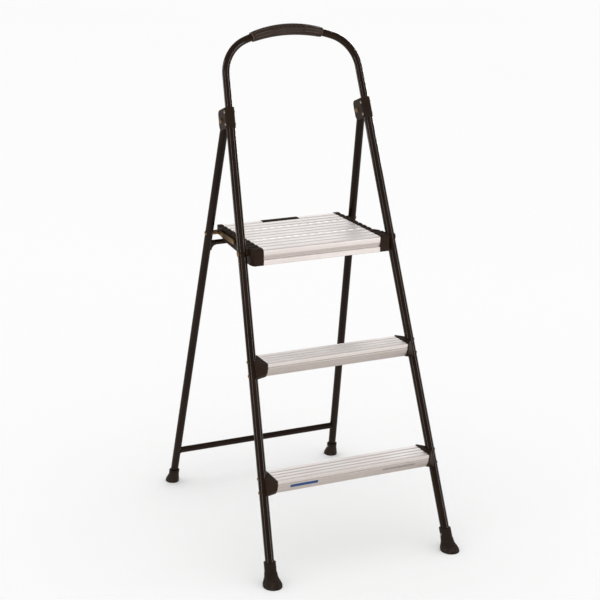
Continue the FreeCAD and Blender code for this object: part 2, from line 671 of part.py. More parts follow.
def platform_cap():
    """Plastic end cap of the deck: ridged top, deep at the nose, wide beside the rail.

    A relief under the wide part clears the link when the stool is folded.
    """
    nose, rear = DECK_NOSE_Y - 0.8, DECK_REAR_Y + 2.5
    top = DECK_TOP + 1.2
    side = [(nose, top - 3, 2.5)]
    for i in range(DECK_GROOVES):
        y = DECK_NOSE_Y + DECK_FIRST_GROOVE + i * DECK_RIB_PITCH
        before = nose + 6 if i == 0 else y - DECK_RIB_PITCH + 4.5
        side += [(before, top, 2.0), (y - 4.5, top, 2.0)]
        side += [(y - 1.6, top - 3.0, 1.0), (y + 1.6, top - 3.0, 1.0)]
    bottom = DECK_TOP - DECK_NOSE_HEIGHT - 0.6
    side += [(y + 4.5, top, 2.0), (rear, top, 3.0), (rear, DECK_TOP - 16, 4.0),
             (nose + 197, DECK_TOP - 28.5, 60), (nose + 122, DECK_TOP - 33.5, 60),
             (nose + 34, bottom, 40), (nose, bottom, 3)]
    body = extrude_x(side, DECK_HALF, 200)
    plan = [(DECK_HALF, nose - 5, 0), (CAP_HALF_PIVOT - 5, nose - 5, 0), (CAP_HALF_PIVOT - 4, nose + 4, 8),
            (CAP_HALF_PIVOT, nose + 14, 8), (CAP_HALF_PIVOT, nose + 50, 6), (CAP_HALF, nose + 66, 12),
            (CAP_HALF - 2, rear, 5), (DECK_HALF, rear, 0)]
    body = body.common(extrude_z(plan, 600, 750))
    relief = [(nose + 36, bottom - 5, 0), (nose + 80, bottom - 5, 0),
              (nose + 80, bottom + 18, 0), (nose + 36, bottom + 2, 0)]
    body = body.cut(extrude_x(relief, CAP_HALF + 1.0, 200))
    start, end = pivot_a_line()
    body = body.cut(cylinder(start - V(1.5, 0, 0), end, PIVOT_R + RUNNING))
    for at in BOSS_YS:
        y, z = DECK_NOSE_Y + at, DECK_TOP - BOSS_DROP
        body = body.cut(cylinder(V(DECK_HALF - 1, y, z), V(200, y, z), SCREW_R))
        body = body.cut(cylinder(V(SCREW_SEAT_X, y, z), V(200, y, z), 4.2))
    return body.removeSplitter()


def cap_screws():
    solids = []
    for at in BOSS_YS:
        y, z = DECK_NOSE_Y + at, DECK_TOP - BOSS_DROP
        head = V(SCREW_SEAT_X, y, z)
        shank = cylinder(V(DECK_HALF - 18, y, z), head, SCREW_R)
        button = cylinder(head, head + V(2.4, 0, 0), 4.0)
        recess = Part.makeBox(1.4, 5.0, 1.2, head + V(1.2, -2.5, -0.6))
        cross = Part.makeBox(1.4, 1.2, 5.0, head + V(1.2, -0.6, -2.5))
        solids.append(shank.fuse(button).cut(recess).cut(cross).removeSplitter())
    return pair(Part.makeCompound(solids))


def platform_pivots():
    start, end = pivot_a_line()
    return pair(rivet(start, end, PIVOT_R, 5.6, 1.8, both=False, seat=RAIL_BODY))


def pivot_washers():
    start, end = pivot_a_line()
    disc = cylinder(V(CAP_HALF_PIVOT + 0.4, start.y, start.z), end, 8.0)
    disc = disc.cut(cylinder(start, end, PIVOT_R))
    return pair(disc.cut(cylinder(rail_point(500), rail_point(800), RAIL_R)))


def rest_pads():
    """Blocks under the deck that stand on the rear frame's upper crossbar."""
    y, top = rear_y(UPPER_BAR_Z), DECK_TOP - 4.2
    bottom = UPPER_BAR_Z + UPPER_BAR_R + 0.3
    side = [(y - 9, bottom, 2), (y + 7, bottom, 2), (y + 7, top, 0), (y - 12, top, 0)]
    return pair(extrude_x(side, 88, 112))


def latch_bracket():
    """Plate under the deck with two ears for the latch pin."""
    y, z = LATCH_PIN
    top = DECK_TOP - 4.2
    plate = [(y - 22, top - 2, 0), (y - 5.5, top - 2, 0), (y - 5.5, top, 0), (y - 22, top, 0)]
    plate = extrude_x(plate, -29, 29)
    ear = [(y - 20, top, 0), (y - 20, z - 5, 4), (y + 5.0, z - 5, 4.9), (y + 5.0, top, 0)]
    ear = extrude_x(ear, 24.5, 27)
    body = plate.fuse(ear).fuse(mirrored(ear))
    return body.cut(cylinder(V(-40, y, z), V(40, y, z), LATCH_PIN_R)).removeSplitter()


def latch_pin():
    y, z = LATCH_PIN
    return rivet(V(-27.2, y, z), V(27.2, y, z), LATCH_PIN_R, 3.8, 1.6)


def latch_spring():
    """Torsion spring around the latch pin, as a stack of touching coils."""
    y, z = LATCH_PIN
    wire, coils, step = 0.65, 6, 1.15
    rings = []
    for i in range(coils):
        x = (i - (coils - 1) / 2) * step
        rings.append(Part.makeTorus(3.35, wire, V(x, y, z), V(1, 0, 0)))
    return rings[0].multiFuse(rings[1:])


def release_handle():
    """Latch lever: a pad that fills the deck's notch, on a barrel that turns on the pin."""
    y, z = LATCH_PIN
    pad_front, pad_top, pad_rear = NOTCH_FRONT_Y + 2.4, DECK_TOP + 0.9, DECK_REAR_Y + 1.5
    pad = [(pad_front, DECK_TOP - 6, 1.0), (pad_rear - 2, DECK_TOP - 9, 3.0),
           (pad_rear, pad_top, 2.5), (pad_front, pad_top, 2.0)]
    body = extrude_x(pad, -LATCH_HALF, LATCH_HALF)
    riser = [(pad_front, HOOK_TOP_Z, 0), (pad_rear - 2.5, HOOK_TOP_Z, 2),
             (pad_rear - 2.5, DECK_TOP - 4, 0), (pad_front, DECK_TOP - 4, 0)]
    body = body.fuse(extrude_x(riser, -HOOK_HALF, HOOK_HALF))
    web = [(y, z + 2.4, 0), (y + 10, z + 2.4, 0), (y + 10, z - 2.4, 0), (y, z - 2.4, 0)]
    barrel = cylinder(V(-BARREL_HALF, y, z), V(BARREL_HALF, y, z), 4.6)
    body = body.fuse(barrel).fuse(extrude_x(web, -BARREL_HALF, BARREL_HALF))
    body = body.cut(cylinder(V(-40, y, z), V(40, y, z), LATCH_PIN_R + RUNNING))
    body = body.cut(cylinder(V(-SPRING_GAP_HALF, y, z), V(SPRING_GAP_HALF, y, z), 5.2))
    for start, end in hook_rivet_lines():
        body = body.cut(cylinder(start, end, HOOK_RIVET_R))
    return body.removeSplitter()


def hook_rivet_lines():
    """Axes of the two rivets that hold the hook under the handle."""
    y = NOTCH_FRONT_Y + 7.5
    return [(V(x, y, HOOK_TOP_Z - HOOK_THICK), V(x, y, HOOK_TOP_Z + 4.0)) for x in (-8.0, 8.0)]


def latch_hook():
    """Bent steel plate that hangs behind the upper crossbar and reaches under it."""
    bar_y, bar_z = rear_y(UPPER_BAR_Z), UPPER_BAR_Z
    near = bar_y + UPPER_BAR_R + 1.0
    far = near + HOOK_THICK
    lip = bar_z - 9.6
    start = NOTCH_FRONT_Y + 2.6
    corners = [(start, HOOK_TOP_Z, 0), (far, HOOK_TOP_Z, 0), (far, lip - HOOK_THICK, 0),
               (bar_y + 3.0, lip - HOOK_THICK, 0), (bar_y + 3.0, lip, 0), (near, lip, 0),
               (near, HOOK_TOP_Z - HOOK_THICK, 0), (start, HOOK_TOP_Z - HOOK_THICK, 0)]
    body = extrude_x(corners, -HOOK_HALF, HOOK_HALF)
    for start, end in hook_rivet_lines():
        body = body.cut(cylinder(start, end, HOOK_RIVET_R))
    return body


def hook_rivets():
    solids = []
    for start, end in hook_rivet_lines():
        solids.append(rivet(end, start, HOOK_RIVET_R, 2.6, 1.0, both=False))
    return Part.makeCompound(solids)


# ---- writing ------------------------------------------------------------------------------------
def write(name, shape):
    for solid in shape.Solids:
        if not solid.isValid():
            print("invalid solid in", name)
    shape.exportStep(os.path.join("parts", name + ".step"))


def both_sides(name, shape):
    write(name + "_right", shape)
    write(name + "_left", mirrored(shape))


def main():
    os.makedirs("parts", exist_ok=True)
    both_sides("front_rail", front_rail())
    write("handrail_hoop", handrail_hoop())
    write("hand_grip", hand_grip())
    both_sides("hinge_bracket", hinge_bracket())
    write("bracket_rivets", bracket_rivets())
    write("hinge_pivots", hinge_pivots())
    for name in TREAD_TOPS:
        write(name + "_tread", tread(name))
        both_sides(name + "_tread_cap", tread_cap(name))
    write("tread_rivets", tread_rivets())
    both_sides("front_foot", front_foot())
    write("front_foot_rivets", foot_rivets(rail_point, FRONT_SLEEVE_R, FRONT_RIVET_Z))
    write("platform_pivots", platform_pivots())
    write("platform_pivot_washers", pivot_washers())

    both_sides("rear_leg", rear_leg())
    write("leg_top_plugs", leg_top_plugs())
    write("hinge_bushes", hinge_bushes())
    write("upper_crossbar", crossbar(UPPER_BAR_Z, UPPER_BAR_R))
    write("crossbar_gussets", crossbar_gussets())
    write("lower_crossbar", crossbar(LOWER_BAR_Z, LOWER_BAR_R))
    both_sides("rear_foot", rear_foot())
    write("rear_foot_rivets", foot_rivets(leg_point, REAR_SLEEVE_R, REAR_RIVET_Z))
    write("link_pivots", link_pivots())
    write("link_spacers", link_spacers())

    both_sides("fold_link", link())
    both_sides("link_pin", link_pin())

    write("platform_deck", platform_deck())
    both_sides("platform_cap", platform_cap())
    write("cap_screws", cap_screws())
    write("rest_pads", rest_pads())
    write("latch_bracket", latch_bracket())
    write("latch_pin", latch_pin())
    write("latch_spring", latch_spring())
    write("release_handle", release_handle())
    write("latch_hook", latch_hook())
    write("hook_rivets", hook_rivets())

    print("pivots A, B, C (y, z):", PIVOT_A, PIVOT_B, PIVOT_C)
    print("deck turn", DECK_TURN, "link turn", LINK_TURN, "for leg turn", FOLDED_LEG_ANGLE)


main()
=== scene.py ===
"""Looks of the folding step stool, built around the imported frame.  Metres, +Z up, climbing side -Y."""
import json
import math

import bmesh
import bpy
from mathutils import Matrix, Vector


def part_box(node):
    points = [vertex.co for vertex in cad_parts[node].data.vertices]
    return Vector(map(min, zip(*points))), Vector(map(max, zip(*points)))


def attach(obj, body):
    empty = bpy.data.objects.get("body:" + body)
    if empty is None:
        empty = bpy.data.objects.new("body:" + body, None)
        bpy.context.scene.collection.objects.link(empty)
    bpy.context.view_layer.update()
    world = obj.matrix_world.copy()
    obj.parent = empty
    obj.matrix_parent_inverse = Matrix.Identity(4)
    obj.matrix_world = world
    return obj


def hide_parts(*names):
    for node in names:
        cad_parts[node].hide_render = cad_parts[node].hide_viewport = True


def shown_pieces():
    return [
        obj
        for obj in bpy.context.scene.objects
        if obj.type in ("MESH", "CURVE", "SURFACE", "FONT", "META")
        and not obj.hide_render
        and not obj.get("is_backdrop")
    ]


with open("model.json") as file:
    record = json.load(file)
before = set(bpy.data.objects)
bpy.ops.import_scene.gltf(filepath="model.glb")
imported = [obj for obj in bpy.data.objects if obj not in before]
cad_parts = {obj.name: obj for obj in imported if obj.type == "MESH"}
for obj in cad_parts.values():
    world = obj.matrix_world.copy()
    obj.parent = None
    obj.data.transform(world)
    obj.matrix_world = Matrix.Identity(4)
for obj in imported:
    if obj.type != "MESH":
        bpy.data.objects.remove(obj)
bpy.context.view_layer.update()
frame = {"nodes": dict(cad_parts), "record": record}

MM = 0.001

# ---- driving dimensions, where the frame doesn't hold them ---------------------------------------
LEAN = 0.3564                  # rearward run of the front rails and the hoop per unit of height
HOOP_R = 8.5 * MM
CROWN_R = 313 * MM             # bend of the hoop's crown, which the grip follows
GRIP_HALF = 89 * MM
GRIP_MIDDLE = -4.7 * MM        # the grip's middle along the crown
GRIP_R_MIDDLE, GRIP_R_END = 13.0 * MM, 11.2 * MM
FLUTES, FLUTE_HEIGHT = 22, 0.25 * MM
RIDGE_TURNS = (-0.62, -0.02, 0.52)      # from the front of the grip, in radians
RIDGE_HEIGHT, RIDGE_HALF = 0.9 * MM, 1.1 * MM
PANEL_DEPTH = 0.45 * MM
DIMPLE_PITCH, DIMPLE_TURN, DIMPLE_DEPTH = 11 * MM, 0.3, 1.5 * MM
DIMPLE_HALF_LONG, DIMPLE_HALF_WIDE = 3.0 * MM, 2.4 * MM
SPRING_R, SPRING_WIRE_R, SPRING_COILS = 3.35 * MM, 0.55 * MM, 6
LOWER_BAR_R = 7.7 * MM
DASH_HEIGHT = 1.0 * MM         # of the raised dashes above the deck's top
DECK_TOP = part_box("platform_deck")[1].z - DASH_HEIGHT

# The leaning front face of the bottom tread, from the tread's nose and top, and what is printed on it,
# from the tread's left end.
FACE_TOP_IN, FACE_TOP_DROP = 1.0 * MM, 13.4 * MM
FACE_LOW_IN, FACE_LOW_DROP = 4.3 * MM, 20.8 * MM
STRIP_START, STRIP_LENGTH = 32 * MM, 67 * MM
PRINT_START, PRINT_HEIGHT, PRINT_RISE = 262 * MM, 4.6 * MM, 1.4 * MM
PRINT_BARS, PRINT_GAP = 16, 1.6 * MM


# ---- materials -----------------------------------------------------------------------------------
class Finish:
    """A material and short calls for the nodes that it is made of."""

    def __init__(self, name, **constants):
        self.material = bpy.data.materials.new(name)
        self.material.use_nodes = True
        self.tree = self.material.node_tree
        self.tree.nodes.clear()
        self.shader = self.node("ShaderNodeBsdfPrincipled")
        output = self.node("ShaderNodeOutputMaterial")
        self.tree.links.new(self.shader.outputs["BSDF"], output.inputs["Surface"])
        self.place = self.node("ShaderNodeTexCoord").outputs["Object"]
        for socket, value in constants.items():
            self.shader.inputs[socket.replace("_", " ")].default_value = value

    def node(self, kind, **settings):
        made = self.tree.nodes.new(kind)
        for key, value in settings.items():
            setattr(made, key, value)
        return made

    def feed(self, socket, value):
        """Sets a socket to a number or colour, or links it to another node's output."""
        if isinstance(value, bpy.types.NodeSocket):
            self.tree.links.new(value, socket)
        else:
            socket.default_value = value

    def noise(self, scale, detail=3.0, roughness=0.55, stretch=(1, 1, 1)):
        """Noise from 0 to 1, with features about 1/scale metres wide, longer where stretch is under 1."""
        mapping = self.node("ShaderNodeMapping")
        self.feed(mapping.inputs["Vector"], self.place)
        mapping.inputs["Scale"].default_value = stretch
        made = self.node("ShaderNodeTexNoise")
        self.feed(made.inputs["Vector"], mapping.outputs["Vector"])
        made.inputs["Scale"].default_value = scale
        made.inputs["Detail"].default_value = detail
        made.inputs["Roughness"].default_value = roughness
        return made.outputs["Fac"]

    def grain(self, scale):
        """Rounded cells, about 1/scale metres wide."""
        made = self.node("ShaderNodeTexVoronoi", feature="SMOOTH_F1")
        self.feed(made.inputs["Vector"], self.place)
        made.inputs["Scale"].default_value = scale
        return made.outputs["Distance"]

    def height(self, low, high):
        """0 below the height low, 1 above high, in the row frame at rest."""
        parts = self.node("ShaderNodeSeparateXYZ")
        self.feed(parts.inputs["Vector"], self.place)
        return self.range(parts.outputs["Z"], low, high, 0.0, 1.0)

    def range(self, value, low, high, to_low, to_high):
        made = self.node("ShaderNodeMapRange", clamp=True)
        for socket, number in zip(("Value", "From Min", "From Max", "To Min", "To Max"),
                                  (value, low, high, to_low, to_high)):
            self.feed(made.inputs[socket], number)
        return made.outputs["Result"]

    def math(self, operation, a, b):
        made = self.node("ShaderNodeMath", operation=operation)
        self.feed(made.inputs[0], a)
        self.feed(made.inputs[1], b)
        return made.outputs["Value"]

    def mix(self, share, a, b):
        made = self.node("ShaderNodeMix", data_type="RGBA")
        self.feed(made.inputs["Factor"], share)
        self.feed(made.inputs["A"], a)
        self.feed(made.inputs["B"], b)
        return made.outputs["Result"]

    def edges(self, radius, low=0.02, high=0.14):
        """1 on edges sharper than about radius, where a finish wears, and 0 on the faces between."""
        bevel = self.node("ShaderNodeBevel", samples=6)
        bevel.inputs["Radius"].default_value = radius
        geometry = self.node("ShaderNodeNewGeometry")
        dot = self.node("ShaderNodeVectorMath", operation="DOT_PRODUCT")
        self.feed(dot.inputs[0], bevel.outputs["Normal"])
        self.feed(dot.inputs[1], geometry.outputs["Normal"])
        return self.range(dot.outputs["Value"], 1 - low, 1 - high, 0.0, 1.0)

    def crevice_shade(self, distance):
        """1 in grooves and corners narrower than about distance, where ambient occlusion finds shade: the
        mask for painted shade.
        """
        shade = self.node("ShaderNodeAmbientOcclusion", samples=8)
        shade.inputs["Distance"].default_value = distance
        return self.range(shade.outputs["AO"], 0.45, 0.85, 1.0, 0.0)

    def crests(self, low, high):
        """0 where the surface is flat or hollow, 1 on sharp crests; swap low and high for hollows."""
        geometry = self.node("ShaderNodeNewGeometry")
        return self.range(geometry.outputs["Pointiness"], low, high, 0.0, 1.0)

    def rounded(self, radius):
        """Normals that make moulded or painted edges look rounded to that radius."""
        bevel = self.node("ShaderNodeBevel", samples=8)
        bevel.inputs["Radius"].default_value = radius
        return bevel.outputs["Normal"]

    def colour(self, value):
        self.feed(self.shader.inputs["Base Color"], value)

    def roughness(self, value):
        self.feed(self.shader.inputs["Roughness"], value)

    def bump(self, height, distance, under=None, strength=1.0):
        """Adds a bump of that height in metres, over an earlier one if under is given."""
        made = self.node("ShaderNodeBump")
        made.inputs["Strength"].default_value = strength
        made.inputs["Distance"].default_value = distance
        self.feed(made.inputs["Height"], height)
        if under is not None:
            self.feed(made.inputs["Normal"], under)
        self.feed(self.shader.inputs["Normal"], made.outputs["Normal"])
        return made.outputs["Normal"]


def rgb(red, green, blue):
    return (red, green, blue, 1.0)


def frame_enamel():
    """Baked gloss enamel on steel tube: near black with a brown cast, orange peel, faint rub marks."""
    f = Finish("frame_enamel", IOR=1.3)
    broad = f.noise(9, 3)
    f.colour(f.mix(f.range(broad, 0.35, 0.65, 0.0, 1.0), rgb(0.01, 0.0047, 0.0025),
                   rgb(0.016, 0.0082, 0.0046)))
    rubs = f.noise(160, 5, 0.7, (1, 1, 0.16))
    f.roughness(f.range(f.math("MULTIPLY", rubs, broad), 0.2, 0.42, 0.08, 0.14))
    f.bump(f.noise(220, 2), 0.000015)
    return f.material


def bracket_enamel():
    """Satin enamel on pressed steel, worn a little along its edges."""
    f = Finish("bracket_enamel", IOR=1.3, Specular_IOR_Level=0.25)
    worn = f.math("MULTIPLY", f.edges(0.0009), f.range(f.noise(260, 4), 0.42, 0.62, 0.0, 0.8))
    base = f.mix(f.noise(60, 4), rgb(0.02, 0.0108, 0.0068), rgb(0.031, 0.0172, 0.011))
    f.colour(f.mix(worn, base, rgb(0.12, 0.1, 0.09)))
    f.roughness(f.range(f.noise(300, 4), 0.3, 0.7, 0.3, 0.46))
    f.bump(f.noise(520, 3), 0.00005, f.rounded(0.0008))
    return f.material


def grip_rubber():
    """Soft moulded rubber: fine leathery grain, paler and smoother where hands rub it, with painted
    highlights on its crests and painted shade in its hollows.
    """
    f = Finish("grip_rubber", IOR=1.3)
    rubbed = f.range(f.noise(38, 4), 0.4, 0.68, 0.0, 0.6)
    tone = f.mix(rubbed, rgb(0.026, 0.0145, 0.0102), rgb(0.042, 0.0255, 0.0185))
    # painted highlight: the sharp crests of the ridges and flutes are paler
    tone = f.mix(f.crests(0.512, 0.54), tone, rgb(0.1, 0.072, 0.058))
    # painted shade: the hollows of the dimples and flutes are near black
    f.colour(f.mix(f.crests(0.496, 0.475), tone, rgb(0.004, 0.0025, 0.002)))
    f.roughness(f.range(rubbed, 0.0, 1.0, 0.5, 0.36))
    soft = f.bump(f.grain(900), 0.00012)
    f.bump(f.noise(2400, 3), 0.00003, soft)
    return f.material


def foot_rubber():
    """Rubber of the feet: brown-black, fine grain, dusty and scuffed towards the floor."""
    f = Finish("foot_rubber", IOR=1.3, Specular_IOR_Level=0.3)
    scuffed = f.math("MULTIPLY", f.range(f.noise(170, 5, 0.65), 0.45, 0.7, 0.0, 0.7), f.height(0.03, 0.0))
    base = f.mix(f.noise(45, 3), rgb(0.012, 0.0072, 0.005), rgb(0.03, 0.018, 0.0125))
    f.colour(f.mix(scuffed, base, rgb(0.075, 0.06, 0.05)))
    f.roughness(f.range(scuffed, 0.0, 0.6, 0.36, 0.62))
    soft = f.bump(f.noise(60, 2), 0.0003, f.rounded(0.0015))
    f.bump(f.noise(1100, 3), 0.00005, soft)
    return f.material


def black_plastic():
    """Moulded plastic of the end caps: spark-eroded texture, edges slightly polished."""
    f = Finish("black_plastic", IOR=1.3, Specular_IOR_Level=0.3)
    polished = f.math("MULTIPLY", f.edges(0.0012), 0.75)
    base = f.mix(f.noise(70, 4), rgb(0.021, 0.0108, 0.006), rgb(0.035, 0.0195, 0.0118))
    f.colour(f.mix(polished, base, rgb(0.045, 0.034, 0.028)))
    f.roughness(f.range(f.noise(240, 4), 0.3, 0.7, 0.36, 0.52))
    f.bump(f.noise(1500, 4, 0.7), 0.00006, f.rounded(0.0013))
    return f.material


def aluminium():
    """Satin anodised extrusion: die lines along X, soft clouding, scratches, painted shade in the grooves,
    painted highlights on the dash tops.
    """
    f = Finish("aluminium")
    lines = f.noise(330, 4, 0.6, (0.01, 1, 1))
    clouds = f.noise(14, 4)
    scratches = f.range(f.noise(190, 5, 0.75, (0.2, 1, 1)), 0.66, 0.74, 0.0, 1.0)
    tone = f.mix(f.range(lines, 0.3, 0.7, 0.0, 1.0), rgb(0.77, 0.728, 0.71), rgb(0.87, 0.83, 0.815))
    tone = f.mix(f.range(clouds, 0.35, 0.65, 0.0, 0.35), tone, rgb(0.8, 0.74, 0.715))
    # painted shade: grooves and corners darkened where ambient occlusion finds them
    tone = f.mix(f.crevice_shade(3 * MM), tone, rgb(0.3, 0.25, 0.22))
    # painted highlight: the tops of the raised dashes are painted near white and made less metallic so that
    # they read bright
    raised = f.height(DECK_TOP + 0.1 * MM, DECK_TOP + 0.4 * MM)
    f.colour(f.mix(raised, tone, rgb(1.0, 0.99, 0.98)))
    f.feed(f.shader.inputs["Metallic"], f.range(raised, 0.0, 1.0, 1.0, 0.1))
    rough = f.range(clouds, 0.3, 0.7, 0.4, 0.5)
    f.roughness(f.math("ADD", rough, f.math("MULTIPLY", scratches, -0.08)))
    fine = f.bump(lines, 0.00002)
    f.bump(scratches, 0.00001, fine)
    return f.material


def plated(name, dark, pale, smooth, rough):
    """Plated steel: blotchy passivation, polished on its edges."""
    f = Finish(name, Metallic=1.0)
    blotches = f.range(f.noise(210, 5, 0.65), 0.34, 0.66, 0.0, 1.0)
    f.colour(f.mix(f.math("MULTIPLY", f.edges(0.0006), 0.5), f.mix(blotches, dark, pale), pale))
    f.roughness(f.range(blotches, 0.0, 1.0, rough, smooth))
    f.bump(f.noise(900, 4), 0.00003)
    return f.material


def dark_steel():
    """Blackened screws, with bright rubbed edges in the recess."""
    f = Finish("dark_steel", Metallic=0.8)
    f.colour(f.mix(f.edges(0.0005), rgb(0.03, 0.025, 0.022), rgb(0.32, 0.29, 0.26)))
    f.roughness(f.range(f.noise(700, 3), 0.3, 0.7, 0.3, 0.5))
    f.bump(f.noise(900, 3), 0.00003)
    return f.material


MATERIALS = {
    "frame_enamel": frame_enamel(),
    "bracket_enamel": bracket_enamel(),
    "grip_rubber": grip_rubber(),
    "foot_rubber": foot_rubber(),
    "black_plastic": black_plastic(),
    "aluminium": aluminium(),
    "bright_steel": plated("bright_steel", rgb(0.36, 0.34, 0.31), rgb(0.7, 0.67, 0.63), 0.2, 0.36),
    "dark_steel": dark_steel(),
    "brass_plate": plated("brass_plate", rgb(0.2, 0.125, 0.06), rgb(0.45, 0.32, 0.17), 0.24, 0.42),
}

for part in frame["record"]["subparts"]:
    cad = frame["nodes"][part["node"]]
    for material_slot in cad.material_slots:
        material_slot.material = MATERIALS[part["material_slot"]]


# ---- mesh helpers --------------------------------------------------------------------------------
def add_piece(name, mesh_data, body, slot, material=None, smooth=True):
    """Makes a piece from a bmesh, shaded and riding on its body."""
    mesh = bpy.data.meshes.new(name)
    bmesh.ops.recalc_face_normals(mesh_data, faces=mesh_data.faces)
    mesh_data.to_mesh(mesh)
    mesh_data.free()
    mesh.materials.append(material or MATERIALS[slot])
    for face in mesh.polygons:
        face.use_smooth = smooth
    piece = bpy.data.objects.new(name, mesh)
    bpy.context.scene.collection.objects.link(piece)
    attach(piece, body)
    return piece


def join_rings(mesh, rings, closed=False):
    """Faces between following rings of vertices; the ends are closed unless the rings form a loop."""
    count = len(rings[0])
    last = len(rings) if closed else len(rings) - 1
    for i in range(last):
        near, far = rings[i], rings[(i + 1) % len(rings)]
        for j in range(count):
            k = (j + 1) % count
            mesh.faces.new((near[j], near[k], far[k], far[j]))
    if not closed:
        mesh.faces.new(rings[0][::-1])
        mesh.faces.new(rings[-1])


def sweep(mesh, points, radius_at, sides=12, closed=False):
    """A tube along points; radius_at(i) is its radius there. Every ring stands square to the path."""
    rings = []
    total = len(points)
    for i, point in enumerate(points):
        before = points[i - 1] if i or closed else points[0]
        after = points[(i + 1) % total] if i + 1 < total or closed else points[-1]
        ahead = (after - before).normalized()
        side = ahead.orthogonal() if not rings else (side - ahead * side.dot(ahead))
        side = side.normalized()
        up = ahead.cross(side)
        ring = []
        for j in range(sides):
            turn = 2 * math.pi * j / sides
            out = side * math.cos(turn) + up * math.sin(turn)
            ring.append(mesh.verts.new(point + out * radius_at(i)))
        rings.append(ring)
    join_rings(mesh, rings, closed)


# ---- hand grip -----------------------------------------------------------------------------------
def smooth_step(low, high, value):
    share = min(1.0, max(0.0, (value - low) / (high - low)))
    return share * share * (3 - 2 * share)


def grip_radius(run, turn):
    """The grip's radius at a run from its middle along the crown, and a turn from its top.

    front is the turn from the side that faces the climber, which has three ridges in each end field
    and a row of dimples between them.
    """
    share = abs(run) / GRIP_HALF
    radius = GRIP_R_END + (GRIP_R_MIDDLE - GRIP_R_END) * (1 - share * share)
    front = turn + math.radians(86)
    plain_end = smooth_step(0.95, 0.91, share)
    middle_field = smooth_step(0.48, 0.42, share)
    end_field = smooth_step(0.46, 0.52, share) * plain_end
    panel = smooth_step(0.75, 0.6, abs(front))
    flutes = (0.5 + 0.5 * math.cos(FLUTES * turn)) * plain_end * (1 - panel)
    ridges = 0.0
    for place in RIDGE_TURNS:
        ridges += math.exp(-(((front - place) * radius) / RIDGE_HALF) ** 2)
    nearest = run - DIMPLE_PITCH * (math.floor(run / DIMPLE_PITCH) + 0.5)
    across = (front - DIMPLE_TURN) * radius
    dimple = math.exp(-(nearest / DIMPLE_HALF_LONG) ** 2 - (across / DIMPLE_HALF_WIDE) ** 2) * middle_field
    raised = FLUTE_HEIGHT * flutes + RIDGE_HEIGHT * ridges * end_field
    return radius + raised - PANEL_DEPTH * panel * middle_field - DIMPLE_DEPTH * dimple


def hand_grip():
    """Grip around the hoop's crown: fluted, with a row of dimples between ridged fields in front."""
    hoop_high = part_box("handrail_hoop")[1]
    slope = Vector((0, LEAN, 1)).normalized()
    crown = Vector((0, hoop_high.y - HOOP_R, hoop_high.z - HOOP_R))
    centre = crown - slope * CROWN_R
    behind = slope.cross(Vector((1, 0, 0)))
    mesh = bmesh.new()
    stations, sides = 280, 144
    rings = []

    def ring(run, radius_at):
        angle = (run + GRIP_MIDDLE) / CROWN_R
        out = Vector((math.sin(angle), 0, 0)) + slope * math.cos(angle)
        middle = centre + out * CROWN_R
        made = []
        for j in range(sides):
            turn = 2 * math.pi * j / sides
            turn = turn if turn <= math.pi else turn - 2 * math.pi
            reach = out * math.cos(turn) + behind * math.sin(turn)
            made.append(mesh.verts.new(middle + reach * radius_at(turn)))
        rings.append(made)

    inner = HOOP_R + 0.05 * MM
    edge = 0.6 * MM
    ring(-GRIP_HALF, lambda turn: inner)
    ring(-GRIP_HALF, lambda turn: grip_radius(-GRIP_HALF, turn) - edge)
    for i in range(stations + 1):
        run = (2 * i / stations - 1) * (GRIP_HALF - edge)
        ring(run, lambda turn: grip_radius(run, turn))
    ring(GRIP_HALF, lambda turn: grip_radius(GRIP_HALF, turn) - edge)
    bore_stations = 24
    for i in range(bore_stations):
        ring(GRIP_HALF * (1 - 2 * i / bore_stations), lambda turn: inner)
    join_rings(mesh, rings, closed=True)
    piece = add_piece("hand_grip_moulded", mesh, "front_frame", "grip_rubber")
    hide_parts("hand_grip")


# ---- latch spring --------------------------------------------------------------------------------
def latch_spring():
    """Torsion spring on the latch pin: a helix with a straight leg at each end."""
    low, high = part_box("latch_spring")
    middle = (low + high) / 2
    half = (high.x - low.x) / 2 - SPRING_WIRE_R
    steps = 24
    points = []
    for i in range(SPRING_COILS * steps + 1):
        turn = 2 * math.pi * i / steps
        x = -half + 2 * half * i / (SPRING_COILS * steps)
        points.append(middle + Vector((x, SPRING_R * math.cos(turn), SPRING_R * math.sin(turn))))
    leg = 5 * MM
    points.insert(0, points[0] + Vector((0, 0, -leg)))
    points.append(points[-1] + Vector((0, 0, leg * 0.4)))
    mesh = bmesh.new()
    sweep(mesh, points, lambda i: SPRING_WIRE_R, sides=10)
    piece = add_piece("latch_spring_coil", mesh, "platform", "bright_steel")
    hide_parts("latch_spring")


# ---- weld beads ----------------------------------------------------------------------------------
def weld_beads():
    """Rippled fillet welds where the lower crossbar meets the rear legs."""
    low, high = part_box("lower_crossbar")
    middle = (low + high) / 2
    steps = 48
    for side, x in (("left", low.x + 1.5 * MM), ("right", high.x - 1.5 * MM)):
        points = []
        for i in range(steps):
            turn = 2 * math.pi * i / steps
            radius = LOWER_BAR_R + 0.3 * MM
            points.append(Vector((x, middle.y + radius * math.cos(turn), middle.z + radius * math.sin(turn))))
        mesh = bmesh.new()
        sweep(mesh, points, lambda i: (1.3 + 0.22 * math.cos(i * 2.4)) * MM, sides=10, closed=True)
        add_piece("weld_bead_" + side, mesh, "rear_frame", "frame_enamel")


# ---- labels --------------------------------------------------------------------------------------
def vinyl(name, base, flecks):
    """Printed vinyl film: satin, a little mottled, paler where it is scuffed."""
    f = Finish(name, IOR=1.4)
    f.colour(f.mix(f.range(f.noise(500, 4), 0.55, 0.75, 0.0, 0.6), base, flecks))
    f.roughness(f.range(f.noise(80, 3), 0.3, 0.7, 0.3, 0.45))
    f.bump(f.noise(260, 2), 0.00003)
    return f.material


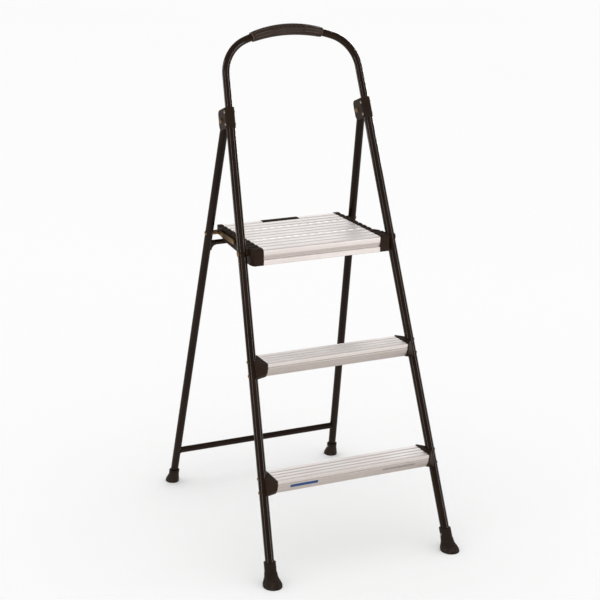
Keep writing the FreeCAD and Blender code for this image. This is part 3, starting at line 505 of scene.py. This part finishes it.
def film(mesh, corner, along, up, size, radius):
    """Adds a thin rectangle of film with round corners, from corner along two directions."""
    along, up = along.normalized(), up.normalized()
    out = along.cross(up)
    thick, steps = 0.12 * MM, 6
    width, height = size
    rim = []
    for quarter, (a, b) in enumerate(((width - radius, height - radius), (radius, height - radius),
                                      (radius, radius), (width - radius, radius))):
        for i in range(steps + 1):
            turn = math.pi / 2 * (quarter + i / steps)
            rim.append(corner + along * (a + radius * math.cos(turn)) + up * (b + radius * math.sin(turn)))
    rings = []
    for lift in (0.02 * MM, thick):
        rings.append([mesh.verts.new(point + out * lift) for point in rim])
    join_rings(mesh, rings)


def labels():
    """On the front of the bottom tread: a plain blue strip, and grey bars in place of lettering."""
    low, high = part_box("bottom_tread")
    face_top = Vector((0, low.y + FACE_TOP_IN, high.z - FACE_TOP_DROP))
    face_low = Vector((0, low.y + FACE_LOW_IN, high.z - FACE_LOW_DROP))
    along, up = Vector((1, 0, 0)), face_top - face_low
    blue = vinyl("blue_vinyl", rgb(0.013, 0.068, 0.21), rgb(0.07, 0.15, 0.3))
    mesh = bmesh.new()
    start = face_low + along * (low.x + STRIP_START)
    film(mesh, start, along, up, (STRIP_LENGTH, up.length), 1.2 * MM)
    add_piece("tread_strip", mesh, "front_frame", "aluminium", blue, smooth=False)

    grey = vinyl("grey_print", rgb(0.33, 0.29, 0.27), rgb(0.48, 0.43, 0.4))
    mesh = bmesh.new()
    run = low.x + PRINT_START
    for i in range(PRINT_BARS):
        width = (2.2 + 1.5 * (i * 7 % 3)) * MM
        start = face_low + up.normalized() * PRINT_RISE + along * run
        film(mesh, start, along, up, (width, PRINT_HEIGHT), 0.4 * MM)
        run += width + PRINT_GAP
    add_piece("tread_print", mesh, "front_frame", "aluminium", grey, smooth=False)


hand_grip()
latch_spring()
weld_beads()
labels()


# ---- floor, light and camera ---------------------------------------------------------------------
def floor():
    """Plain pale floor, which isn't part of the object."""
    mesh = bpy.data.meshes.new("studio_floor")
    half = 30
    corners = [(-half, -half, 0), (half, -half, 0), (half, half, 0), (-half, half, 0)]
    mesh.from_pydata(corners, [], [(0, 1, 2, 3)])
    f = Finish("studio_floor", Specular_IOR_Level=0.1)
    pale = f.mix(f.noise(0.6, 2), rgb(0.985, 0.985, 0.985), rgb(1.0, 1.0, 1.0))
    reflected = f.node("ShaderNodeLightPath").outputs["Is Glossy Ray"]
    f.colour(f.mix(reflected, pale, rgb(0.66, 0.615, 0.58)))
    f.roughness(0.9)
    mesh.materials.append(f.material)
    made = bpy.data.objects.new("studio_floor", mesh)
    bpy.context.scene.collection.objects.link(made)
    made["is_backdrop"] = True


def softbox(name, place, size, radiance, lit, target=(0, 0, 0.6)):
    """A rectangular studio light facing target, as bright as radiance times a white world.

    It lights only the pieces in the collection lit, as a lighting artist flags a light.
    """
    data = bpy.data.lights.new(name, "AREA")
    data.shape = "RECTANGLE"
    data.size, data.size_y = size
    data.energy = radiance * math.pi * size[0] * size[1]
    made = bpy.data.objects.new(name, data)
    made.location = place
    made.rotation_euler = (Vector(target) - Vector(place)).to_track_quat("-Z", "Y").to_euler()
    made.light_linking.receiver_collection = lit
    bpy.context.scene.collection.objects.link(made)


def lit_group(name, wanted):
    """A collection of the object's pieces that pass wanted."""
    group = bpy.data.collections.new(name)
    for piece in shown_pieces():
        if wanted(piece):
            group.objects.link(piece)
    return group


def studio():
    """White surroundings, dimmer in reflections so that gloss black stays black, and the softboxes."""
    world = bpy.data.worlds.new("studio")
    bpy.context.scene.world = world
    world.use_nodes = True
    nodes, links = world.node_tree.nodes, world.node_tree.links
    background = nodes["Background"]
    path = nodes.new("ShaderNodeLightPath")
    mix = nodes.new("ShaderNodeMix")
    mix.data_type = "RGBA"
    links.new(path.outputs["Is Glossy Ray"], mix.inputs["Factor"])
    mix.inputs["A"].default_value = rgb(1.0, 1.0, 1.0)
    mix.inputs["B"].default_value = rgb(0.24, 0.235, 0.23)
    links.new(mix.outputs["Result"], background.inputs["Color"])
    tube_names = ("front_rail_left", "front_rail_right", "handrail_hoop", "hand_grip_moulded")
    metal = lit_group("bare_metal", lambda piece: piece.data.materials[0] == MATERIALS["aluminium"])
    tubes = lit_group("gloss_tubes", lambda piece: piece.name in tube_names)
    softbox("front_panel", (-1.6, -4.6, 1.9), (3.4, 2.2), 1.1, metal)
    softbox("front_low", (2.0, -4.0, 0.8), (3.0, 1.3), 3.3, metal, (0, -0.2, 0.68))
    softbox("overhead", (0.2, 0.8, 3.4), (8.0, 8.0), 0.56, metal)
    softbox("rear_panel", (1.8, 4.6, 2.0), (7.0, 3.8), 0.68, metal)
    softbox("left_panel", (-5.4, 0.4, 2.2), (7.0, 3.8), 0.6, metal)
    softbox("right_panel", (5.4, -0.4, 2.2), (7.0, 3.8), 0.6, metal)
    softbox("strip_front", (-3.6, -1.9, 1.7), (0.3, 3.2), 14, tubes)
    softbox("strip_right", (2.9, -3.2, 1.7), (0.3, 3.2), 20, tubes)
    softbox("strip_left", (-3.2, 2.6, 1.6), (0.4, 3.2), 14, tubes)
    softbox("strip_rear", (2.6, 3.4, 1.6), (0.4, 3.2), 14, tubes)


def camera():
    data = bpy.data.cameras.new("camera")
    data.sensor_width = 36
    data.lens = 96.34
    data.clip_end = 100
    made = bpy.data.objects.new("camera", data)
    made.location = (-1.4885, -3.2941, 1.6276)
    made.rotation_euler = (math.radians(90 - 16.66), 0, math.radians(-24.14))
    bpy.context.scene.collection.objects.link(made)
    bpy.context.scene.camera = made


floor()
studio()
camera()
bpy.context.scene.view_settings.view_transform = "Standard"
